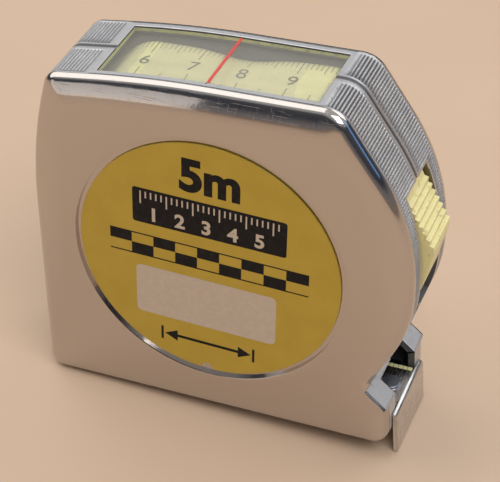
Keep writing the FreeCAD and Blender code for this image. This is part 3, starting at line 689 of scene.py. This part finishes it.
def notched_disc(radius, notch_radius, notch_angle):
    """A circle with one small half-moon bitten out of its edge."""
    bite = math.degrees(2 * math.asin(notch_radius / radius / 2))
    outline = circle_points(*AXLE, radius, 240, notch_angle + bite, notch_angle + 360 - bite - 0.01)
    centre = (AXLE[0] + radius * math.cos(math.radians(notch_angle)),
              AXLE[1] + radius * math.sin(math.radians(notch_angle)))
    inward = notch_angle + 180
    return outline + circle_points(*centre, notch_radius, 14, inward + 84, inward - 84)


def on_label(across, up):
    """A point of the label's print, given from its centre along the tilted print lines."""
    angle = math.radians(LABEL_TURN)
    return (AXLE[0] + across * math.cos(angle) - up * math.sin(angle),
            AXLE[1] + across * math.sin(angle) + up * math.cos(angle))


def label_prints(name, outlines, paint, lift=PRINT_LIFT):
    """Flat printed shapes on the front label, as one piece."""
    verts, faces = [], []
    for outline in outlines:
        faces.append(tuple(range(len(verts), len(verts) + len(outline))))
        verts += [(x, -LABEL_FACE - lift, z) for x, z in (on_label(*point) for point in outline)]
    return make_piece(name, verts, faces, [paint], "case")


def label_figures(name, text, height, across, up, paint, bold, lift=PRINT_LIFT):
    """Printed figures on the front label."""
    x, z = on_label(across, up)
    return lettering(name, text, height, (x, -LABEL_FACE - lift, z), paint,
                     "case", turn=LABEL_TURN, bold=bold)


def box_outline(left, right, low, high, radius=0.0):
    """A rectangle, with rounded corners if a radius is given."""
    corners = [(left, low), (right, low), (right, high), (left, high)]
    if not radius:
        return corners
    return [tuple(point) for point in corner_path([(*corner, radius) for corner in corners], True)]


label_disc("front_label_disc", notched_disc(LABEL_RADIUS, 1.35, 267.5), -1, "front_label")
label_disc("rear_label_disc", circle_points(*AXLE, LABEL_RADIUS, 240), 1, "rear_label")

label_figures("length_mark", "5m", 7.4, 0.2, 19.9, ink_black, bold=0.42)
label_prints("scale_bar", [box_outline(BAR_LEFT, BAR_RIGHT, BAR_LOW, BAR_HIGH, 0.6)], ink_black)
bar_marks = []
for index in range(BAR_TICKS + 1):
    tall = BAR_TICK_LONG if index % 5 == 0 else BAR_TICK_SHORT
    middle = BAR_SCALE_START + index * BAR_SCALE_LENGTH / BAR_TICKS
    bar_marks.append(box_outline(middle - BAR_TICK_HALF, middle + BAR_TICK_HALF,
                                 BAR_TICK_TOP - tall, BAR_TICK_TOP))
label_prints("scale_bar_ticks", bar_marks, label_cream, lift=2 * PRINT_LIFT)
for index in range(5):
    middle = BAR_SCALE_START + (index + 0.5) * 5 * BAR_SCALE_LENGTH / BAR_TICKS
    label_figures("scale_bar_%d" % (index + 1), str(index + 1), 3.2, middle, 8.4, label_cream,
                  bold=0.14, lift=2 * PRINT_LIFT)
blocks = []
for index in range(BAND_BLOCKS):
    left = -BAND_HALF + index * 2 * BAND_HALF / BAND_BLOCKS
    levels = (BAND_MIDDLE, BAND_HIGH) if index % 2 == 0 else (BAND_LOW, BAND_MIDDLE)
    blocks.append(box_outline(left, left + 2 * BAND_HALF / BAND_BLOCKS, *levels))
blocks.append(box_outline(-BAND_HALF, BAND_HALF, BAND_LOW - BAND_LINE, BAND_LOW))
blocks.append(box_outline(-BAND_HALF, BAND_HALF, BAND_HIGH, BAND_HIGH + BAND_LINE))
label_prints("measure_band", blocks, ink_black)
label_prints("name_panel", [box_outline(-15.5, 14.5, -16.6, -4.6, 1.2)], label_cream)
arrow = [(-9.4, -20.9), (-6.6, -19.5), (-6.6, -20.55), (6.6, -20.55), (6.6, -19.5), (9.4, -20.9),
         (6.6, -22.3), (6.6, -21.25), (-6.6, -21.25), (-6.6, -22.3)]
arrow_stops = [box_outline(left, left + 0.5, -22.6, -19.2) for left in (-10.2, 9.7)]
label_prints("length_arrow", [arrow, *arrow_stops], ink_black)


# ---------------------------------------------------------------- window and blade

BLADE_HALF = 6.35
LENS_FIT, LENS_THICK, LENS_DROP = 0.14, 1.6, 0.25
LENS_SOFTENING = (0.15, 0.12)
LENS_SIDES = (3, 7)

# The blade's height under the window, and how far its edges curl down between the pins.
RUN_HEIGHT, RUN_SLOPE, RUN_LEVEL_X = 73.65, 0.045, -15.0
RUN_REAR_X, RUN_REAR_FALL, RUN_FRONT_X, RUN_FRONT_FALL = -17.0, 0.07, 19.0, 0.10
CURL_X, CURL_REACH, CURL_DEPTH = 1.6, 6.8, 1.4

# Millimetre, five and ten: half the tick's thickness, and its length on each edge of the blade.
TICK_HALVES = (0.06, 0.065, 0.08)
NEAR_TICKS, FAR_TICKS = (0.0, 1.8, 2.9), (2.3, 3.2, 4.4)
TICK_MARGIN = 0.05

top_band = np.where((fine_spots[:, 1] > 70) & (np.abs(fine_spots[:, 0]) < 26))[0]
top_order = top_band[np.argsort(fine_spots[top_band, 0])]


def lens_top(x):
    """The lens's upper face, a little under the crowned top of the case."""
    return float(np.interp(x, fine_spots[top_order, 0], fine_spots[top_order, 1])) - LENS_DROP


def window_lens():
    """Clear strip in the window whose four cut edges are painted yellow-olive, a painted reflection of the
    blade's colour.
    """
    xs = np.linspace(WINDOW_REAR + LENS_FIT, WINDOW_FRONT - LENS_FIT, 40)
    half = WINDOW_HALF - LENS_FIT
    inset, soft = LENS_SOFTENING
    section = [(-half, soft), (-half + inset, 0.0), (half - inset, 0.0), (half, soft),
               (half, LENS_THICK / 2), (half, LENS_THICK), (-half, LENS_THICK), (-half, LENS_THICK / 2)]
    verts = [(x, y, lens_top(x) - sink) for x in xs for y, sink in section]
    sides = len(section)
    faces, picks = [], []
    for column in range(len(xs) - 1):
        for side in range(sides):
            after = (side + 1) % sides
            base = column * sides
            faces.append((base + side, base + after, base + sides + after, base + sides + side))
            picks.append(1 if side in LENS_SIDES else 0)
    for base in (0, len(verts) - sides):
        for end, pick in (((0, 1, 2, 3, 4, 7), 1), ((4, 5, 6, 7), 0)):
            faces.append(tuple(base + side for side in end))
            picks.append(pick)
    return make_piece("window_pane", verts, faces, [lens_clear, lens_edge], "case",
                      picks=picks, replaces=["window_lens"], sharp=25.0)


def run_height(x, y):
    """The blade under the window: held up by the pins, its edges curling down between them."""
    base = RUN_HEIGHT + (x - RUN_LEVEL_X) * RUN_SLOPE
    base -= RUN_REAR_FALL * max(RUN_REAR_X - x, 0.0) ** 2 + RUN_FRONT_FALL * max(x - RUN_FRONT_X, 0.0) ** 2
    return base - CURL_DEPTH * math.exp(-((x - CURL_X) / CURL_REACH) ** 2) * (y / BLADE_HALF) ** 2


def blade_run():
    """The strip from behind the reel, over the two pins and down to the coil."""
    rise = [(-28.5, 4.8, 0.0), (-34.6, 4.8, 6.0), (-34.6, 47.0, 30.0), (-28.6, 66.5, 0.0)]
    fall = [(24.6, 71.0, 0.0), (29.2, 42.0, 0.0)]
    _, rise_spots, _ = even_path(corner_path(rise, False), False, 1.0)
    _, fall_spots, _ = even_path(corner_path(fall, False), False, 1.0)
    ys = np.linspace(-BLADE_HALF, BLADE_HALF, 13)
    verts = [(x, y, z) for x, z in rise_spots for y in ys]
    verts += [(x, y, run_height(x, y)) for x in np.linspace(-24.5, 23.0, 90) for y in ys]
    verts += [(x, y, z) for x, z in fall_spots for y in ys]
    width = len(ys)
    faces = []
    for base in range(0, len(verts) - width, width):
        faces += [(spot, spot + 1, spot + width + 1, spot + width)
                  for spot in range(base, base + width - 1)]
    piece = make_piece("blade_run", verts, faces, [blade_yellow], "case",
                       replaces=["blade_window_run"], sharp=60.0)
    thicken = piece.modifiers.new("thickness", "SOLIDIFY")
    thicken.thickness = 0.2 * MM
    thicken.offset = 0.0
    return piece


def scale_print(name, first, count, origin, surface, body, low, high):
    """Millimetre ticks on both edges of a strip, clipped to low and high along X."""
    verts, faces = [], []
    for index in range(first, first + count):
        x = origin + index
        if not low < x < high:
            continue
        grade = 2 if index % 10 == 0 else 1 if index % 5 == 0 else 0
        thick = TICK_HALVES[grade]
        for edge, lengths in ((BLADE_HALF, FAR_TICKS), (-BLADE_HALF, NEAR_TICKS)):
            if not lengths[grade]:
                continue
            inward = -math.copysign(1, edge)
            base = len(verts)
            for y in np.linspace(edge + inward * TICK_MARGIN, edge + inward * lengths[grade], 6):
                verts += [(x + offset, y, surface(x + offset, y)) for offset in (-thick, thick)]
            faces += [(base + k, base + k + 1, base + k + 3, base + k + 2) for k in range(0, 10, 2)]
    return make_piece(name, verts, faces, [ink_scale], body, sharp=60.0)


def run_face(x, y):
    """The surface that carries the print of the blade under the window."""
    return run_height(x, y) + 0.17


window_lens()
blade_run()
FIRST_NUMBER, NUMBER_X = 6, -16.8
scale_print("run_scale", 50, 55, NUMBER_X - 10 * FIRST_NUMBER, run_face, "case", -23.5, 21.8)
for index in range(4):
    lettering("run_number_%d" % (FIRST_NUMBER + index), str(FIRST_NUMBER + index), 3.3,
              (NUMBER_X + 10 * index, -0.7), ink_scale, "case", surface=run_face)

BLADE_HEIGHT, HOLLOW_RADIUS, BLADE_END = 4.6, 20.0, 37.2


def strip_face(x, y):
    """The surface that carries the print of the hollow blade at the mouth."""
    return BLADE_HEIGHT + 0.2 + HOLLOW_RADIUS - math.sqrt(HOLLOW_RADIUS ** 2 - y ** 2) + 0.02


scale_print("strip_scale", -65, 65, BLADE_END, strip_face, "blade", -28.0, 37.0)
for index in range(1, 7):
    lettering("strip_number_%d" % index, str(index), 3.3, (BLADE_END - 10 * index, -0.7), ink_scale,
              "blade", surface=strip_face)


# ---------------------------------------------------------------- screws

CROSS_DEPTH, CROSS_ARM = 0.55, 0.42


def cross_screw(x, z, face_y, head, shank, length):
    """A pan head with a cross recess and a plain shank behind it, all facing +Y."""
    rings = 48
    verts, faces = [], []

    def cross(radius, angle):
        """Radius of the cross-shaped recess at an angle."""
        half_arm = CROSS_ARM / 2
        return min(radius, half_arm / max(abs(math.sin(2 * angle)) * 0.9, half_arm / radius))

    angles = [2 * math.pi * k / rings for k in range(rings)]
    profile = [
        (lambda a: 0.35 * cross(head * 0.55, a), -CROSS_DEPTH),
        (lambda a: 0.9 * cross(head * 0.62, a), -CROSS_DEPTH * 0.8),
        (lambda a: cross(head * 0.66, a), 0.0),
        (lambda a: head * 0.78, 0.0),
        (lambda a: head * 0.93, -0.1),
        (lambda a: head, -0.32),
        (lambda a: head, -1.15),
        (lambda a: shank, -1.2),
        (lambda a: shank, -length),
    ]
    for radius_at, sink in profile:
        verts += [(x + radius_at(a) * math.cos(a), face_y + sink, z + radius_at(a) * math.sin(a))
                  for a in angles]
    for base in range(0, (len(profile) - 1) * rings, rings):
        for k in range(rings):
            after = (k + 1) % rings
            faces.append((base + k, base + after, base + rings + after, base + rings + k))
    faces.append(tuple(range(rings))[::-1])
    last = (len(profile) - 1) * rings
    faces.append(tuple(range(last, last + rings)))
    return verts, faces


def screws(name, places, replaced, **shape):
    """The same screw at several places, as one piece."""
    verts, faces = [], []
    for x, z in places:
        more_verts, more_faces = cross_screw(x, z, **shape)
        faces += [tuple(index + len(verts) for index in face) for face in more_faces]
        verts += more_verts
    return make_piece(name, verts, faces, [screw_steel], "case",
                      replaces=[replaced], sharp=40.0)


screws("case_screw_set", SCREW_PLACES, "case_screws",
       face_y=HALF_WIDTH - 0.3, head=2.3, shank=1.25, length=12.0)
screws("clip_screw", (AXLE,), "belt_clip_screw", face_y=HALF_WIDTH + 2.2, head=2.3, shank=1.25, length=9.0)


# ---------------------------------------------------------------- CAD nodes that keep their shape

# Each node with its material and the width of its softened edges.
KEPT_NODES = (
    ("hairline", hairline_red, 0.0),
    ("blade_strip", blade_yellow, 0.0),
    ("end_hook", hook_steel, 0.18),
    ("hook_rivets", spring_steel, 0.12),
    ("lock_button", button_yellow, 0.16),
    ("lock_arm", dark_plastic, 0.2),
    ("lock_shoe", shoe_rubber, 0.15),
    ("mouth_guide", dark_plastic, 0.3),
    ("belt_clip", clip_steel, 0.18),
    ("centre_post", screw_steel, 0.2),
    ("blade_guides", screw_steel, 0.2),
    ("reel_drum", drum_plastic, 0.2),
    ("reel_disc_front", drum_plastic, 0.12),
    ("reel_disc_rear", drum_plastic, 0.12),
    ("blade_coil", coil_yellow, 0.1),
    ("power_spring", spring_steel, 0.0),
)
for kept_node, kept_paint, kept_bevel in KEPT_NODES:
    finish_node(kept_node, kept_paint, kept_bevel)


# ---------------------------------------------------------------- floor, lights and camera

# Where the tape rests: the case's rear lower edge and the hook's tip, as (x, z).
REST_HEEL, REST_HOOK = (-36.5, -0.05), (39.0, -3.98)
FLOOR_REACH = 6.0
CAMERA_PLACE = Vector((111.9, -268.5, 251.0)) * MM
CAMERA_AIM = Vector((3.74, 0.0, 34.85)) * MM
CAMERA_LENS, CAMERA_SENSOR, CAMERA_ROLL = 128.8, 36.0, -1.23
# What shines on the metal from all round: shares of the way from straight down to straight up.
SKY = (
    (0.0, (0.20, 0.16, 0.13)),
    (0.47, (0.26, 0.22, 0.20)),
    (0.53, (0.20, 0.19, 0.20)),
    (0.58, (0.05, 0.055, 0.07)),
    (0.68, (0.10, 0.105, 0.12)),
    (0.76, (0.40, 0.40, 0.41)),
    (1.0, (0.60, 0.60, 0.60)),
)


def floor():
    """A plain pale floor that touches the case's rear lower edge and the hook."""
    slope = math.atan2(REST_HOOK[1] - REST_HEEL[1], REST_HOOK[0] - REST_HEEL[0])
    mesh = bpy.data.meshes.new("floor")
    corners = [(x * FLOOR_REACH, y * FLOOR_REACH, 0) for x, y in ((-1, -1), (1, -1), (1, 1), (-1, 1))]
    mesh.from_pydata(corners, [], [(0, 1, 2, 3)])
    ground = bpy.data.objects.new("floor", mesh)
    ground.location = (REST_HEEL[0] * MM, 0, REST_HEEL[1] * MM)
    ground.rotation_euler = (0, -slope, 0)
    bpy.context.scene.collection.objects.link(ground)
    paint = Paint("floor_pale", (0.60, 0.43, 0.30), 0.6)
    paint.tint(paint.noise(60.0, 3.0), (0.63, 0.46, 0.33), 0.5)
    mesh.materials.append(paint.material)


def soft_light(name, place, aim, width, height, power, colour=(1, 1, 1)):
    """A rectangular lamp turned to a point; sizes in metres."""
    light = bpy.data.lights.new(name, "AREA")
    light.shape = "RECTANGLE"
    light.size, light.size_y = width, height
    light.energy = power
    light.color = colour
    holder = bpy.data.objects.new(name, light)
    holder.location = place
    holder.rotation_euler = (Vector(aim) - Vector(place)).to_track_quat("-Z", "Y").to_euler()
    bpy.context.scene.collection.objects.link(holder)


floor()
centre = (0, 0, 0.035)
soft_light("key", (-0.75, 0.10, 1.0), centre, 1.6, 1.3, 8.4, (1.0, 0.98, 0.95))
soft_light("front", (0.55, -0.45, 0.95), centre, 0.8, 0.6, 6.0)
soft_light("low_left", (-0.66, -0.95, 0.12), centre, 0.55, 0.34, 0.40, (1.0, 0.95, 0.90))
soft_light("right_edge", (0.95, 0.10, 0.55), centre, 0.25, 0.6, 0.35, (0.14, 0.42, 1.0))
soft_light("back", (0.55, 0.85, 0.95), centre, 1.0, 0.7, 3.6)

world = bpy.data.worlds.new("studio")
world.use_nodes = True
sky_nodes, sky_links = world.node_tree.nodes, world.node_tree.links
sky_way = sky_nodes.new("ShaderNodeTexCoord")
sky_split = sky_nodes.new("ShaderNodeSeparateXYZ")
sky_ramp = sky_nodes.new("ShaderNodeValToRGB")
sky_height = sky_nodes.new("ShaderNodeMapRange")
sky_height.inputs["From Min"].default_value = -1.0
while len(sky_ramp.color_ramp.elements) < len(SKY):
    sky_ramp.color_ramp.elements.new(1.0)
for element, (position, colour) in zip(sky_ramp.color_ramp.elements, SKY):
    element.position = position
    element.color = (*colour, 1)
sky_links.new(sky_way.outputs["Generated"], sky_split.inputs[0])
sky_links.new(sky_split.outputs["Z"], sky_height.inputs["Value"])
sky_links.new(sky_height.outputs["Result"], sky_ramp.inputs["Fac"])
sky_links.new(sky_ramp.outputs["Color"], sky_nodes["Background"].inputs["Color"])
bpy.context.scene.world = world

camera = bpy.data.cameras.new("camera")
camera.lens = CAMERA_LENS
camera.sensor_width = CAMERA_SENSOR
camera_holder = bpy.data.objects.new("camera", camera)
camera_holder.location = CAMERA_PLACE
camera_holder.rotation_mode = "QUATERNION"
upright_view = (CAMERA_AIM - CAMERA_PLACE).to_track_quat("-Z", "Y")
camera_holder.rotation_quaternion = upright_view @ Quaternion((0, 0, 1), math.radians(CAMERA_ROLL))
bpy.context.scene.collection.objects.link(camera_holder)
bpy.context.scene.camera = camera_holder
bpy.context.scene.view_settings.view_transform = "Standard"
